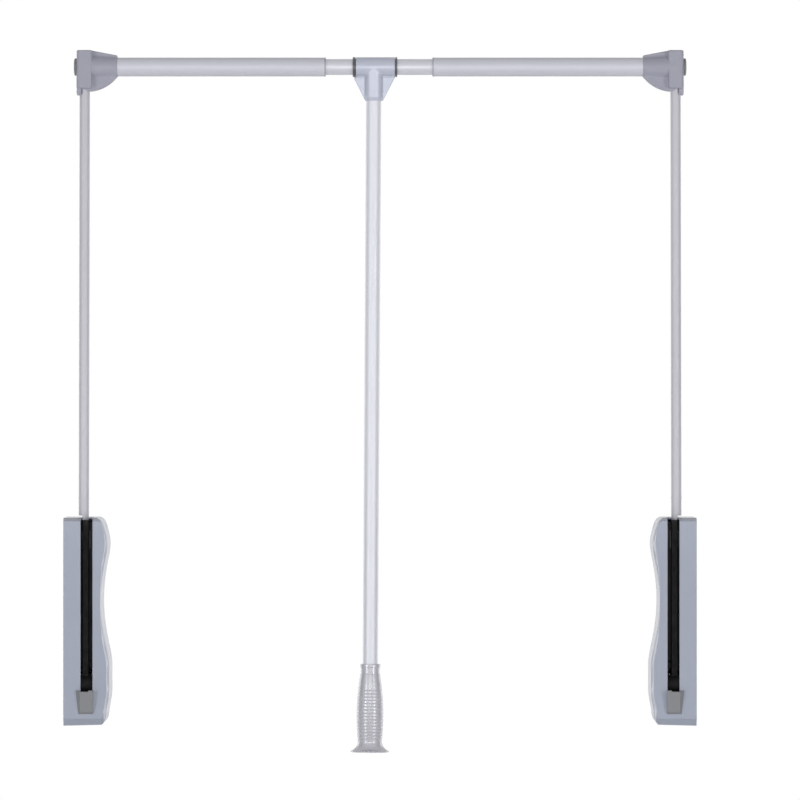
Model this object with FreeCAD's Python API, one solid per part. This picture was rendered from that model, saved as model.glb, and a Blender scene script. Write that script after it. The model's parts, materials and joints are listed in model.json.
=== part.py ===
import FreeCAD, Part
import math
import os

from FreeCAD import Vector

os.makedirs("parts", exist_ok=True)

# A pull-down closet rod: two spring housings on the cabinet walls, two arms, a telescopic
# rail and a pull rod. Millimetres. X runs from the left cabinet wall to the right one, Y from
# the front to the back, Z up. The origin is the centre of the left base plate's wall screws.
# Everything is made for the left side first, and the right side is its mirror image.

# ---- cabinet and linkage ----
inside_width = 792.0            # from wall to wall
arm_wall_distance = 23.8        # wall to the middle of an arm tube
arm_reach = 778.5               # pivot axis to rail axis
rest_lean = 3.0                 # degrees that the raised arms lean back
swing_angle = 93.0              # degrees from raised to lowered
pivot_from_front = 40.0         # pivot axis behind the front of the housing

# ---- housing: its height, depth and waist follow from what it holds ----
cover_wall = 2.5
wave_wall = 3.2                 # thickness of the wavy side
waist_gap = 4.1                 # spring to the waist of the cover
back_gap = 4.56                 # damper to the back of the cover
head_room = 18.85               # upper bracket to the top of the cover, outside
top_swell = -4.5                # wavy side past its waist, from top to bottom
brow_swell = 0.6
shoulder_swell = 4.9
upper_bulge_swell = 8.3
neck_swell = 5.0
flare_swell = 5.9
loin_swell = 10.3
lower_bulge_swell = 10.5
hip_swell = 10.2
flank_swell = 7.0
toe_swell = 4.2
foot_swell = 1.6
brow_drop = 3.4                 # how far below the top
shoulder_drop = 13.6
upper_bulge_drop = 31.0
neck_drop = 56.8
waist_drop = 106.0
lower_bulge_rise = 57.5         # how far above the bottom
flare_rise = 103.3
loin_rise = 79.0
hip_rise = 35.2
flank_rise = 16.6
toe_rise = 3.0                  # above the foot
foot_lift = 1.2                 # how far the bottom rises from the wall to the wavy side
bevel_depth = 8.0               # front bevel, measured front to back
side_bevel = 3.2
waist_bevel = 0.3
brow_bevel = 0.3
top_bevel = 4.1
bottom_bevel = 9.0
brow_share = 0.55               # share of a bevel or wall where the side slopes
shoulder_share = 0.3
slot_width = 15.0
slot_centre = 29.1              # wall to the middle of the slot
lever_slot_gap = 0.6            # lever to the outer edge of the slot
slot_end_gap = 1.5              # behind the raised lever

# ---- base plate and its wall screws ----
plate_thickness = 2.5
rim_gap = 0.3                   # base plate edge to cover
wall_hole_radius = 2.75
wall_hole_inset_y = 15.0        # from the front and the back of the housing
wall_hole_inset_z = 11.0        # from its top and its bottom

# ---- cover screws and standoffs ----
cover_screw_inset = 11.0        # from the housing's top or bottom
lower_screw_side = 30.0         # each side of the middle
standoff_radius = 4.0
standoff_length = 37.0
rivet_radius = 2.5
boss_radius = 5.6
boss_floor = 2.5
screw_head_radius = 3.6
screw_head_height = 2.6
screw_shank_radius = 1.9
screw_reach = 10.0              # thread length in a standoff
screw_hole_gap = 0.25
head_gap = 0.6
drive_recess_radius = 1.6
drive_recess_depth = 1.4

# ---- landing block ----
landing_rise = 14.6             # its lower end above the housing's bottom
landing_height = 29.75
landing_width = 16.2
landing_top_reach = 9.0         # how far it stands out at its top and at its foot
landing_foot_reach = 3.6
landing_top_flank = 5.6         # its sloping outer side, at its top and at its foot
landing_foot_flank = 2.1
landing_foot_slope = 3.2
landing_stem_length = 12.0
landing_stem_gap = 0.2
cradle_depth = 1.5
cradle_gap = 1.0
landing_gap = 0.3               # lowered lever to cradle

# ---- lever, axle and bearing ----
lever_width = 8.4
lever_half_depth = 6.5
lever_edge_radius = 1.2
hub_radius = 13.0
hub_side = 4.2                  # hub past each side of the lever
sleeve_radius = 9.0
key_flat = 7.6                  # axis to a flat of the keyed sleeve
key_gap = 0.05
axle_radius = 5.0
axle_collar_radius = 7.5
axle_collar_gap = 0.3
axle_rivet_radius = 4.0
axle_head_radius = 6.5
axle_head_height = 1.4
bearing_gap = 0.05
bush_wall = 1.5
bush_gap = 0.03
spigot_length = 45.0
spigot_root = 13.0              # how far it runs down beside the lever
spigot_gap = 0.1
tube_swing_gap = 0.5            # lower end of the arm tube past the housing's corner
tube_tongue = 6.0               # how far the part of its end in the slot runs down
pin_radius = 2.0
pin_height = 22.0               # above the lower end of the arm tube
pin_gap = 0.03

# ---- pinion and rack ----
module = 2.5
pinion_teeth = 16
pressure_angle = 20.0
pinion_width = 9.0
pinion_addendum = 2.3
pinion_dedendum = 2.9
rack_addendum = 2.2
rack_dedendum = 2.8
tooth_backlash = 0.24
rack_width = 8.4
rack_back = 13.0                # pitch line to the back of the rack
rack_slide_gap = 0.25

# ---- cheek plate and rack guide ----
cheek_gap = 3.0                 # pinion to cheek plate
cheek_thickness = 2.0
cheek_ahead = 24.0              # its edges from the pivot axis
cheek_behind = 82.0
cheek_below = 29.0
cheek_above = 17.0
spacer_inset = 6.5              # cheek spacers from its edges
cheek_corner_radius = 6.0
rivet_head_radius = 4.0
rivet_head_height = 1.2
guide_wall = 2.2
guide_back = 8.0
guide_lip = 7.0
guide_below = 27.5              # its ends from the pivot axis
guide_above = 14.5

# ---- crosshead, spring and damper ----
crosshead_rise = 20.5           # above the pivot axis
crosshead_thickness = 8.0
crosshead_guard_gap = 2.0
crosshead_wall_gap = 5.0
crosshead_rim = 1.0             # past the damper
spring_length = 160.0           # with the arms raised
spring_wall_gap = 6.5           # spring to base plate
spring_guard_gap = 8.0
spring_radius = 15.0            # outside
spring_wire = 5.0
spring_coils = 13
spring_end_gap = 0.1
spring_bore_gap = 1.0
peg_height = 22.0
seat_boss_height = 9.0
bracket_thickness = 3.0
bracket_rim = 3.0               # past the spring
bracket_flange = 16.0
damper_spring_gap = 4.0
damper_radius = 10.0
damper_wall = 1.2
damper_length = 103.0
gland_thickness = 7.0
damper_rod_radius = 3.0
damper_rod_gap = 0.3
piston_height = 6.0
piston_gap = 0.4
piston_rise = 112.0             # piston's lower face above the crosshead, raised arms
rod_in_crosshead = 5.0

# ---- guard and bumper ----
guard_lever_gap = 1.9           # behind the raised lever at the top of the housing
guard_thickness = 1.5
guard_rack_gap = 0.6
guard_rise = 30.0               # its lower edge above the pivot axis
guard_top_gap = 3.5             # below the inside of the cover
bumper_height = 22.0
bumper_drop = 16.0              # its upper edge below the housing's top
bumper_gap = 0.3
bumper_side = 1.0

# ---- arm tube and corner bracket (heights from the rail axis) ----
arm_radius = 6.5
arm_wall = 1.4
arm_end_below_rail = 13.5
boss_wall_reach = 9.9           # arm axis to its sides
boss_rail_reach = 9.3
boss_half_depth = 15.8
boss_wall_rounding = 4.5
boss_rail_rounding = 2.0
boss_top = 20.2
boss_bottom = -27.9
arm_fit = 0.06
collar_width = 5.8              # half collar round the arm below the boss
collar_bottom = -35.3
collar_half_depth = 9.0
socket_length = 31.65           # past the boss
socket_start_radius = 15.6
socket_end_radius = 13.2
web_half_depth = 7.0
web_end_top = 14.2
web_end_bottom = -12.2
web_start_bottom = -30.6
web_bulge = 4.2
spigot_in_rail_length = 26.0
core_hole_radius = 8.0
core_hole_depth = 2.0
cap_radius = 11.0
cap_height = 4.0
bracket_screw_radius = 1.9
bracket_screw_head_radius = 3.5
bracket_screw_head_height = 2.2
rail_screw_from_boss = 14.0
arm_screw_below_rail = 21.0

# ---- telescopic rail ----
outer_rail_radius = 11.85
outer_rail_wall = 1.2
left_open_length = 35.6         # bare inner tube between each ring and its outer tube
right_open_length = 45.9
inner_rail_radius = 10.0
inner_rail_wall = 1.5
rail_engagement = 213.0         # inner tube inside each outer tube
glide_gap = 0.06
sleeve_length = 30.0
sleeve_flange = 1.6
sleeve_flange_radius = 12.1
sleeve_fit = 0.05
rail_plug_gap = 0.1

# ---- T holder, pull rod and grip (heights from the rail axis) ----
tee_offset = -8.1               # rod and stem from the middle of the cabinet
tee_left_reach = 22.4           # stem's middle to the ends of the barrel
tee_right_reach = 26.8
tee_radius = 12.3
left_ring_width = 3.8
right_ring_width = 2.6
ring_radius = 12.6
ring_gap = 0.3
liner_wall = 0.9
liner_gap = 0.1
stem_radius = 12.0
stem_bottom = -42.6
gusset_half_depth = 4.0
gusset_root = -10.0
gusset_half_width = 27.0        # under the rings, and at the foot of the stem
gusset_foot_half_width = 12.7
pull_rod_radius = 9.6
pull_rod_wall = 1.5
pull_rod_top = -14.0
rod_fit = 0.06
rod_tilt = 0.35                 # degrees that the rod hangs out of true, from the foot of the stem
rod_screw_height = -31.0
rod_screw_radius = 2.0
rod_screw_head_radius = 3.8
rod_screw_head_height = 2.0
pull_rod_drop = 863.2           # rail axis to the bottom of the grip
grip_length = 110.9
grip_collar_radius = 12.85
grip_collar_height = 3.0
grip_neck_radius = 12.0
grip_neck_height = 9.5
grip_barrel_start_radius = 12.4
grip_barrel_radius = 16.6
grip_barrel_end_radius = 15.1
grip_flare_height = 13.5
grip_flare_bend_height = 6.3
grip_flare_bend_radius = 17.6
grip_flare_radius = 24.0
grip_rim_height = 1.5
grip_floor = 20.9               # solid below the rod
groove_count = 16
groove_pitch = 4.1
groove_radius = 0.75
groove_bottom_rise = 16.5
plug_radius = 15.0
plug_height = 4.0
plug_gap = 0.1

# ---- worked-out places ----
lean = math.radians(rest_lean)

slot_left = slot_centre - slot_width / 2
lever_start = slot_left + lever_slot_gap
lever_end = lever_start + lever_width
hub_start = lever_start - hub_side
hub_end = lever_end + hub_side
pinion_end = hub_end + pinion_width

# height: landing block, pivot, crosshead, spring and bracket, one above the other
pivot_rise = landing_rise + landing_height - cradle_depth + landing_gap + lever_half_depth
pivot_to_bracket = crosshead_rise + crosshead_thickness + spring_length
pivot_to_top = pivot_to_bracket + bracket_thickness + head_room
housing_height = pivot_rise + pivot_to_top
housing_top = housing_height / 2
housing_bottom = -housing_height / 2
landing_bottom = housing_bottom + landing_rise
landing_top = landing_bottom + landing_height
pivot_z = housing_bottom + pivot_rise

# depth: pivot, leaned lever, guard, spring and damper, one behind the other
lever_back_from_pivot = pivot_to_top * math.tan(lean) + lever_half_depth / math.cos(lean)
guard_from_pivot = lever_back_from_pivot + guard_lever_gap
spring_from_pivot = guard_from_pivot + guard_thickness + spring_guard_gap + spring_radius
damper_from_pivot = spring_from_pivot + spring_radius + damper_spring_gap + damper_radius
housing_depth = pivot_from_front + damper_from_pivot + damper_radius + back_gap + cover_wall
housing_front = -housing_depth / 2
housing_back = housing_depth / 2
pivot_y = housing_front + pivot_from_front
guard_front = pivot_y + guard_from_pivot
guard_back = guard_front + guard_thickness
spring_y = pivot_y + spring_from_pivot
damper_y = pivot_y + damper_from_pivot

rail_y = pivot_y + arm_reach * math.sin(lean)
rail_z = pivot_z + arm_reach * math.cos(lean)

corner_reach = math.hypot(pivot_from_front - bevel_depth, housing_top - pivot_z)
tube_start = corner_reach + tube_swing_gap
tongue_start = tube_start - tube_tongue
tube_end = arm_reach - arm_end_below_rail

pitch_radius = module * pinion_teeth / 2
tooth_pitch = math.pi * module
rack_travel = pitch_radius * math.radians(swing_angle)
pitch_line = pivot_y + pitch_radius
rack_start = hub_end + (pinion_width - rack_width) / 2
rack_end = rack_start + rack_width

cheek_start = pinion_end + cheek_gap
cheek_end = cheek_start + cheek_thickness
standoff_end = plate_thickness + standoff_length

cheek_front = pivot_y - cheek_ahead
cheek_back = pivot_y + cheek_behind
cheek_bottom = pivot_z - cheek_below
cheek_top = pivot_z + cheek_above

crosshead_bottom = pivot_z + crosshead_rise
crosshead_top = crosshead_bottom + crosshead_thickness
crosshead_front = guard_back + crosshead_guard_gap
crosshead_back = damper_y + damper_radius + crosshead_rim
spring_x = plate_thickness + spring_wall_gap + spring_radius
spring_bore = spring_radius - spring_wire
bracket_bottom = pivot_z + pivot_to_bracket
bracket_top = bracket_bottom + bracket_thickness
damper_bottom = bracket_bottom - damper_length
waist_width = spring_x + spring_radius + waist_gap + wave_wall

wall_hole_y = housing_depth / 2 - wall_hole_inset_y
wall_hole_z = housing_height / 2 - wall_hole_inset_z
cover_screw_places = [
    (spring_y, housing_top - cover_screw_inset),
    (lower_screw_side, housing_bottom + cover_screw_inset),
    (-lower_screw_side, housing_bottom + cover_screw_inset),
]
cheek_spacer_places = [
    (cheek_front + spacer_inset, cheek_bottom + spacer_inset),
    (cheek_back - spacer_inset, cheek_bottom + spacer_inset),
    (cheek_back - spacer_inset, cheek_top - spacer_inset),
]

boss_start = arm_wall_distance - boss_wall_reach
boss_end = arm_wall_distance + boss_rail_reach
socket_end = boss_end + socket_length

tee_x = inside_width / 2 + tee_offset
tee_left = tee_x - tee_left_reach
tee_right = tee_x + tee_right_reach
left_ring_end = tee_left - ring_gap
right_ring_start = tee_right + ring_gap
left_rail_end = left_ring_end - left_ring_width - left_open_length
right_rail_end = right_ring_start + right_ring_width + right_open_length


# ---- plain shapes ----
tolerance = 1e-6


def box(x0, x1, y0, y1, z0, z1):
    return Part.makeBox(x1 - x0, y1 - y0, z1 - z0, Vector(x0, y0, z0))


def rod_x(radius, x0, x1, y, z):
    return Part.makeCylinder(radius, x1 - x0, Vector(x0, y, z), Vector(1, 0, 0))


def rod_y(radius, y0, y1, x, z):
    return Part.makeCylinder(radius, y1 - y0, Vector(x, y0, z), Vector(0, 1, 0))


def rod_z(radius, z0, z1, x, y):
    return Part.makeCylinder(radius, z1 - z0, Vector(x, y, z0), Vector(0, 0, 1))


def tube_x(outer, inner, x0, x1, y, z):
    return rod_x(outer, x0, x1, y, z).cut(rod_x(inner, x0, x1, y, z))


def tube_z(outer, inner, z0, z1, x, y):
    return rod_z(outer, z0, z1, x, y).cut(rod_z(inner, z0, z1, x, y))


def closed_wire(corners):
    return Part.makePolygon(corners + corners[:1])


def plate_x(points, x0, x1):
    """A flat plate with an outline of (y, z) points, from x0 to x1."""
    outline = closed_wire([Vector(x0, y, z) for y, z in points])
    return Part.Face(outline).extrude(Vector(x1 - x0, 0, 0))


def plate_y(points, y0, y1):
    """A flat plate with an outline of (x, z) points, from y0 to y1."""
    outline = closed_wire([Vector(x, y0, z) for x, z in points])
    return Part.Face(outline).extrude(Vector(0, y1 - y0, 0))


def rounded_plate_x(x0, x1, y0, y1, z0, z1, radius):
    plate = box(x0, x1, y0, y1, z0, z1)
    return plate.makeFillet(radius, edges_along(plate, Vector(1, 0, 0)))


def edges_along(shape, direction):
    found = []
    for edge in shape.Edges:
        if len(edge.Vertexes) == 2:
            run = edge.Vertexes[1].Point.sub(edge.Vertexes[0].Point)
            if run.cross(direction).Length < tolerance * run.Length:
                found.append(edge)
    return found


def upright_edges(shape, x):
    found = edges_along(shape, Vector(0, 0, 1))
    return [edge for edge in found if abs(edge.Vertexes[0].X - x) < tolerance]


def fuse_all(shapes):
    return shapes[0].fuse(shapes[1:]).removeSplitter()


def leaned(shape):
    """Turns a piece that was drawn on an upright arm to the raised arm's lean."""
    turned = shape.copy()
    turned.rotate(Vector(0, pivot_y, pivot_z), Vector(1, 0, 0), -rest_lean)
    return turned


def mirrored(shape):
    return shape.mirror(Vector(inside_width / 2, 0, 0), Vector(1, 0, 0))


# ---- housing ----
def wave_points(inset_x, inset_waist, inset_brow, inset_top, inset_bottom):
    """The wavy side from bottom to top, moved inwards."""
    outer = waist_width - inset_x
    brow = waist_width - inset_brow
    foot = housing_bottom + inset_bottom
    shoulder = waist_width - (inset_x + inset_brow) / 2
    return [
        (brow + foot_swell, foot),
        (brow + toe_swell, foot + toe_rise),
        (outer + flank_swell, housing_bottom + flank_rise),
        (outer + hip_swell, housing_bottom + hip_rise),
        (outer + lower_bulge_swell, housing_bottom + lower_bulge_rise),
        (outer + loin_swell, housing_bottom + loin_rise),
        (outer + flare_swell, housing_bottom + flare_rise),
        (waist_width - inset_waist, housing_top - waist_drop),
        (outer + neck_swell, housing_top - neck_drop),
        (outer + upper_bulge_swell, housing_top - upper_bulge_drop),
        (shoulder + shoulder_swell, housing_top - shoulder_drop - shoulder_share * inset_top),
        (brow + brow_swell, housing_top - brow_drop - brow_share * inset_top),
        (brow + top_swell, housing_top - inset_top),
    ]


def housing_wire(wall_x, y, lift, points):
    """A closed outline at one depth: foot, wavy side, top and wall side."""
    wave = Part.BSplineCurve()
    wave.interpolate([Vector(x, y, z) for x, z in points])
    foot = Vector(points[0][0], y, points[0][1])
    top = Vector(points[-1][0], y, points[-1][1])
    wall_foot = Vector(wall_x, y, points[0][1] - lift)
    wall_top = Vector(wall_x, y, points[-1][1])
    edges = [
        Part.makeLine(wall_foot, foot),
        wave.toShape(),
        Part.makeLine(top, wall_top),
        Part.makeLine(wall_top, wall_foot),
    ]
    return Part.Wire(edges)


def housing_block(wall_x, wave_inset, inset):
    """The bevelled block inside the given wall, used for the outside and for the hollow."""
    front = housing_front + inset
    back = housing_back - inset
    side = wave_points(wave_inset, wave_inset, wave_inset, inset, inset + foot_lift)
    face = wave_points(
        wave_inset + side_bevel, wave_inset + waist_bevel, wave_inset + brow_bevel,
        inset + top_bevel, inset + bottom_bevel,
    )
    side_wire = housing_wire(wall_x, front + bevel_depth, foot_lift, side)
    front_wire = housing_wire(wall_x, front, 0, face)
    body = Part.Face(side_wire).extrude(Vector(0, back - front - bevel_depth, 0))
    nose = Part.makeLoft([front_wire, side_wire], True, True)
    return body.fuse(nose).removeSplitter()


def make_cover():
    outside = housing_block(0, 0, 0)
    cover = outside.cut(housing_block(-plate_thickness, wave_wall, cover_wall))
    bosses = [rod_x(boss_radius, standoff_end, inside_width, y, z) for y, z in cover_screw_places]
    cover = cover.fuse([boss.common(outside) for boss in bosses])
    slot_back = pivot_y + lever_back_from_pivot + slot_end_gap
    slot_bottom = landing_bottom + cover_wall
    slot_right = slot_left + slot_width
    front_slot = box(
        slot_left, slot_right,
        housing_front - cover_wall, housing_front + 2 * cover_wall,
        slot_bottom, housing_top + cover_wall,
    )
    top_slot = box(
        slot_left, slot_right,
        housing_front - cover_wall, slot_back,
        housing_top - 2 * cover_wall - top_bevel, housing_top + cover_wall,
    )
    cuts = [front_slot, top_slot]
    floor = standoff_end + boss_floor
    for y, z in cover_screw_places:
        cuts.append(rod_x(screw_head_radius + head_gap, floor, inside_width, y, z))
        cuts.append(rod_x(screw_shank_radius + screw_hole_gap, 0, floor + boss_floor, y, z))
    return cover.cut(cuts).removeSplitter()


def make_cover_screws():
    floor = standoff_end + boss_floor
    head_end = floor + screw_head_height
    screws = []
    for y, z in cover_screw_places:
        shank = rod_x(screw_shank_radius, standoff_end - screw_reach, floor, y, z)
        head = rod_x(screw_head_radius, floor, head_end, y, z)
        recess = rod_x(drive_recess_radius, head_end - drive_recess_depth, head_end, y, z)
        screws.append(shank.fuse(head).cut(recess))
    return Part.makeCompound(screws)


def make_base_plate():
    """A plate that fills the rim of the cover, with its front corners cut like the bevels."""
    edge = cover_wall + rim_gap
    front = housing_front + edge
    back = housing_back - edge
    bottom = housing_bottom + edge
    top = housing_top - edge
    outline = [
        (front + bevel_depth, bottom),
        (back, bottom),
        (back, top),
        (front + bevel_depth, top),
        (front, top - top_bevel),
        (front, bottom + bottom_bevel),
    ]
    plate = plate_x(outline, 0, plate_thickness)
    cuts = []
    for y in (-wall_hole_y, wall_hole_y):
        for z in (-wall_hole_z, wall_hole_z):
            cuts.append(rod_x(wall_hole_radius, 0, plate_thickness, y, z))
    for y, z in cover_screw_places + cheek_spacer_places:
        cuts.append(rod_x(rivet_radius, 0, plate_thickness, y, z))
    cuts.append(rod_x(axle_rivet_radius, 0, plate_thickness, pivot_y, pivot_z))
    return plate.cut(cuts)


def make_standoffs():
    """Turned standoffs: three tapped ones for the cover and three riveted spacers."""
    pieces = []
    for y, z in cover_screw_places:
        body = rod_x(standoff_radius, plate_thickness, standoff_end, y, z)
        foot = rod_x(rivet_radius, rim_gap, plate_thickness, y, z)
        bore = rod_x(screw_shank_radius, standoff_end - screw_reach, standoff_end, y, z)
        pieces.append(body.fuse(foot).cut(bore))
    for y, z in cheek_spacer_places:
        body = rod_x(standoff_radius, plate_thickness, cheek_start, y, z)
        foot = rod_x(rivet_radius, rim_gap, plate_thickness, y, z)
        neck = rod_x(rivet_radius, cheek_start, cheek_end, y, z)
        head = rod_x(rivet_head_radius, cheek_end, cheek_end + rivet_head_height, y, z)
        pieces.append(body.fuse([foot, neck, head]))
    return Part.makeCompound(pieces)


def make_landing_block():
    left = slot_centre - landing_width / 2
    right = slot_centre + landing_width / 2
    face = closed_wire([
        Vector(left, housing_front - landing_foot_reach, landing_bottom + landing_foot_slope),
        Vector(right, housing_front - landing_foot_reach, landing_bottom + landing_foot_slope),
        Vector(right, housing_front - landing_top_reach, landing_top),
        Vector(left, housing_front - landing_top_reach, landing_top),
    ])
    base = closed_wire([
        Vector(left - landing_foot_flank, housing_front, landing_bottom),
        Vector(right, housing_front, landing_bottom),
        Vector(right, housing_front, landing_top),
        Vector(left - landing_top_flank, housing_front, landing_top),
    ])
    wedge = Part.makeLoft([face, base], True, True)
    stem_bottom_z = landing_bottom + cover_wall + landing_stem_gap
    stem = box(
        slot_left + landing_stem_gap, slot_left + slot_width - landing_stem_gap,
        housing_front, housing_front + landing_stem_length,
        stem_bottom_z, landing_top,
    )
    cradle = box(
        lever_start - cradle_gap, lever_end + cradle_gap,
        housing_front - landing_top_reach, housing_front + landing_stem_length,
        landing_top - cradle_depth, landing_top,
    )
    return wedge.fuse(stem).cut(cradle).removeSplitter()


def make_pivot_axle():
    parts = [
        rod_x(axle_rivet_radius, rim_gap, plate_thickness, pivot_y, pivot_z),
        rod_x(axle_collar_radius, plate_thickness, hub_start - axle_collar_gap, pivot_y, pivot_z),
        rod_x(axle_radius, hub_start - axle_collar_gap, cheek_start, pivot_y, pivot_z),
        rod_x(axle_rivet_radius, cheek_start, cheek_end, pivot_y, pivot_z),
        rod_x(axle_head_radius, cheek_end, cheek_end + axle_head_height, pivot_y, pivot_z),
    ]
    return fuse_all(parts)


def make_cheek_plate():
    plate = rounded_plate_x(
        cheek_start, cheek_end, cheek_front, cheek_back, cheek_bottom, cheek_top, cheek_corner_radius
    )
    cuts = [rod_x(rivet_radius, cheek_start, cheek_end, y, z) for y, z in cheek_spacer_places]
    cuts.append(rod_x(axle_rivet_radius, cheek_start, cheek_end, pivot_y, pivot_z))
    return plate.cut(cuts)


def make_rack_guide():
    """A nylon channel behind the rack, open to the pinion, on the cheek plate."""
    rack_back_y = pitch_line + rack_back
    floor_y = rack_back_y + rack_slide_gap
    body = box(
        rack_start - rack_slide_gap - guide_wall, cheek_start,
        rack_back_y - guide_lip, floor_y + guide_back,
        pivot_z - guide_below, pivot_z + guide_above,
    )
    channel = box(
        rack_start - rack_slide_gap, rack_end + rack_slide_gap,
        rack_back_y - guide_lip, floor_y,
        pivot_z - guide_below, pivot_z + guide_above,
    )
    return body.cut(channel)


def make_upper_bracket():
    plate = box(
        plate_thickness, spring_x + spring_radius + bracket_rim,
        guard_back, crosshead_back,
        bracket_bottom, bracket_top,
    )
    flange = box(
        plate_thickness, plate_thickness + bracket_thickness,
        guard_back, crosshead_back,
        bracket_bottom - bracket_flange, bracket_bottom,
    )
    boss = rod_z(spring_bore - spring_bore_gap, bracket_bottom - seat_boss_height,
                 bracket_bottom, spring_x, spring_y)
    return fuse_all([plate, flange, boss])


def make_spring_guard():
    return box(
        plate_thickness, rack_start - guard_rack_gap,
        guard_front, guard_back,
        pivot_z + guard_rise, housing_top - cover_wall - guard_top_gap,
    )


def make_rest_bumper():
    front = pivot_y + lever_half_depth + bumper_gap
    top = housing_top - bumper_drop
    upright = box(
        lever_start - bumper_side, lever_end + bumper_side,
        front, front + lever_back_from_pivot,
        top - bumper_height, top,
    )
    behind = box(0, inside_width, guard_front, housing_back, housing_bottom, housing_top)
    return leaned(upright).cut(behind)


def make_lift_spring():
    """A closed-end compression spring as a helix from the crosshead to the bracket."""
    wire = spring_wire / 2
    low = crosshead_top + spring_end_gap + wire
    high = bracket_bottom - spring_end_gap - wire
    pitch = (high - low) / spring_coils
    mean_radius = spring_radius - wire
    path = Part.makeHelix(pitch, high - low, mean_radius)
    section = Part.Wire(Part.makeCircle(wire, Vector(mean_radius, 0, 0), Vector(0, 1, 0)))
    coil = Part.Wire(path).makePipeShell([section], True, True)
    coil.translate(Vector(spring_x, spring_y, low))
    return coil


def make_damper_body():
    body = rod_z(damper_radius, damper_bottom, bracket_bottom, spring_x, damper_y)
    hollow = rod_z(damper_radius - damper_wall, damper_bottom + gland_thickness,
                   bracket_bottom - damper_wall, spring_x, damper_y)
    gland = rod_z(damper_rod_radius + damper_rod_gap, damper_bottom,
                  damper_bottom + gland_thickness, spring_x, damper_y)
    return body.cut([hollow, gland])


def make_damper_rod():
    piston_bottom = crosshead_top + piston_rise
    rod = rod_z(damper_rod_radius, crosshead_top - rod_in_crosshead, piston_bottom,
                spring_x, damper_y)
    piston = rod_z(damper_radius - damper_wall - piston_gap, piston_bottom,
                   piston_bottom + piston_height, spring_x, damper_y)
    return rod.fuse(piston)


def make_crosshead():
    block = box(
        plate_thickness + crosshead_wall_gap, rack_end,
        crosshead_front, crosshead_back,
        crosshead_bottom, crosshead_top,
    )
    peg = rod_z(spring_bore - spring_bore_gap, crosshead_top, crosshead_top + peg_height,
                spring_x, spring_y)
    rod_hole = rod_z(damper_rod_radius, crosshead_top - rod_in_crosshead, crosshead_top,
                     spring_x, damper_y)
    return block.fuse(peg).cut(rod_hole).removeSplitter()


# ---- rack and pinion ----
def involute(angle):
    return math.tan(angle) - angle


def make_pinion():
    """A spur gear with a tooth space at the back, facing the rack."""
    pressure = math.radians(pressure_angle)
    base_radius = pitch_radius * math.cos(pressure)
    tip_radius = pitch_radius + pinion_addendum
    root_radius = pitch_radius - pinion_dedendum
    tooth_width = tooth_pitch / 2 - tooth_backlash / 2
    half_at_base = tooth_width / (2 * pitch_radius) + involute(pressure)
    steps = 4
    flank = [(root_radius, half_at_base)]
    for step in range(steps + 1):
        radius = base_radius + (tip_radius - base_radius) * step / steps
        turn = involute(math.acos(base_radius / radius))
        flank.append((radius, half_at_base - turn))
    outline = []
    for tooth in range(pinion_teeth):
        middle = 2 * math.pi * (tooth + 0.5) / pinion_teeth
        outline += [(radius, middle - half) for radius, half in flank]
        outline += [(radius, middle + half) for radius, half in reversed(flank)]
    points = [
        (pivot_y + radius * math.cos(turn), pivot_z + radius * math.sin(turn))
        for radius, turn in outline
    ]
    gear = plate_x(points, hub_end, pinion_end)
    return gear.cut(keyed_sleeve(key_gap))


def keyed_sleeve(gap):
    """The end of the hub with its two flats, which the pinion sits on."""
    sleeve = rod_x(sleeve_radius + gap, hub_end, pinion_end, pivot_y, pivot_z)
    flats = box(
        hub_end, pinion_end,
        pivot_y - key_flat - gap, pivot_y + key_flat + gap,
        pivot_z - hub_radius, pivot_z + hub_radius,
    )
    return sleeve.common(flats)


def make_rack():
    """A toothed bar with a tooth at the height of the axle when the arms are raised."""
    slope = math.tan(math.radians(pressure_angle))
    half_tooth = tooth_pitch / 4 - tooth_backlash / 4
    tip = pitch_line - rack_addendum
    root = pitch_line + rack_dedendum
    half_tip = half_tooth - rack_addendum * slope
    half_root = half_tooth + rack_dedendum * slope
    teeth_above = 1
    teeth_below = math.ceil(rack_travel / tooth_pitch) + 1
    back = pitch_line + rack_back
    points = [(back, crosshead_bottom), (root, crosshead_bottom)]
    for tooth in range(teeth_above, -teeth_below, -1):
        z = pivot_z + tooth * tooth_pitch
        points += [(root, z + half_root), (tip, z + half_tip)]
        points += [(tip, z - half_tip), (root, z - half_root)]
    lower_end = pivot_z - (teeth_below - 0.5) * tooth_pitch
    points += [(root, lower_end), (back, lower_end)]
    return plate_x(points, rack_start, rack_end)


# ---- arm ----
def make_arm_lever():
    """Hub, flat lever and the spigot that the arm tube is pushed on, as one casting."""
    hub = rod_x(hub_radius, hub_start, hub_end, pivot_y, pivot_z)
    bar = box(
        lever_start, lever_end,
        pivot_y - lever_half_depth, pivot_y + lever_half_depth,
        pivot_z, pivot_z + tongue_start,
    )
    bar = bar.makeFillet(lever_edge_radius, edges_along(bar, Vector(0, 0, 1)))
    tube_bore = arm_radius - arm_wall
    spigot = rod_z(tube_bore - spigot_gap, pivot_z + tongue_start - spigot_root,
                   pivot_z + tube_start + spigot_length, arm_wall_distance, pivot_y)
    spigot = spigot.cut(beside_slot())
    casting = fuse_all([hub, bar, spigot])
    pin_z = pivot_z + tube_start + pin_height
    pin_hole = rod_x(pin_radius + pin_gap, 0, lever_end + hub_radius, pivot_y, pin_z)
    casting = leaned(casting.cut(pin_hole))
    casting = casting.fuse(keyed_sleeve(0))
    bore = rod_x(axle_radius + bearing_gap + bush_wall + bush_gap, hub_start, pinion_end,
                 pivot_y, pivot_z)
    return casting.cut(bore).removeSplitter()


def beside_slot():
    """The space on the wall side of the slot that an arm's lower end must leave free."""
    return box(
        0, lever_start,
        pivot_y - 2 * lever_half_depth, pivot_y + 2 * lever_half_depth,
        pivot_z, pivot_z + tube_start,
    )


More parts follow.
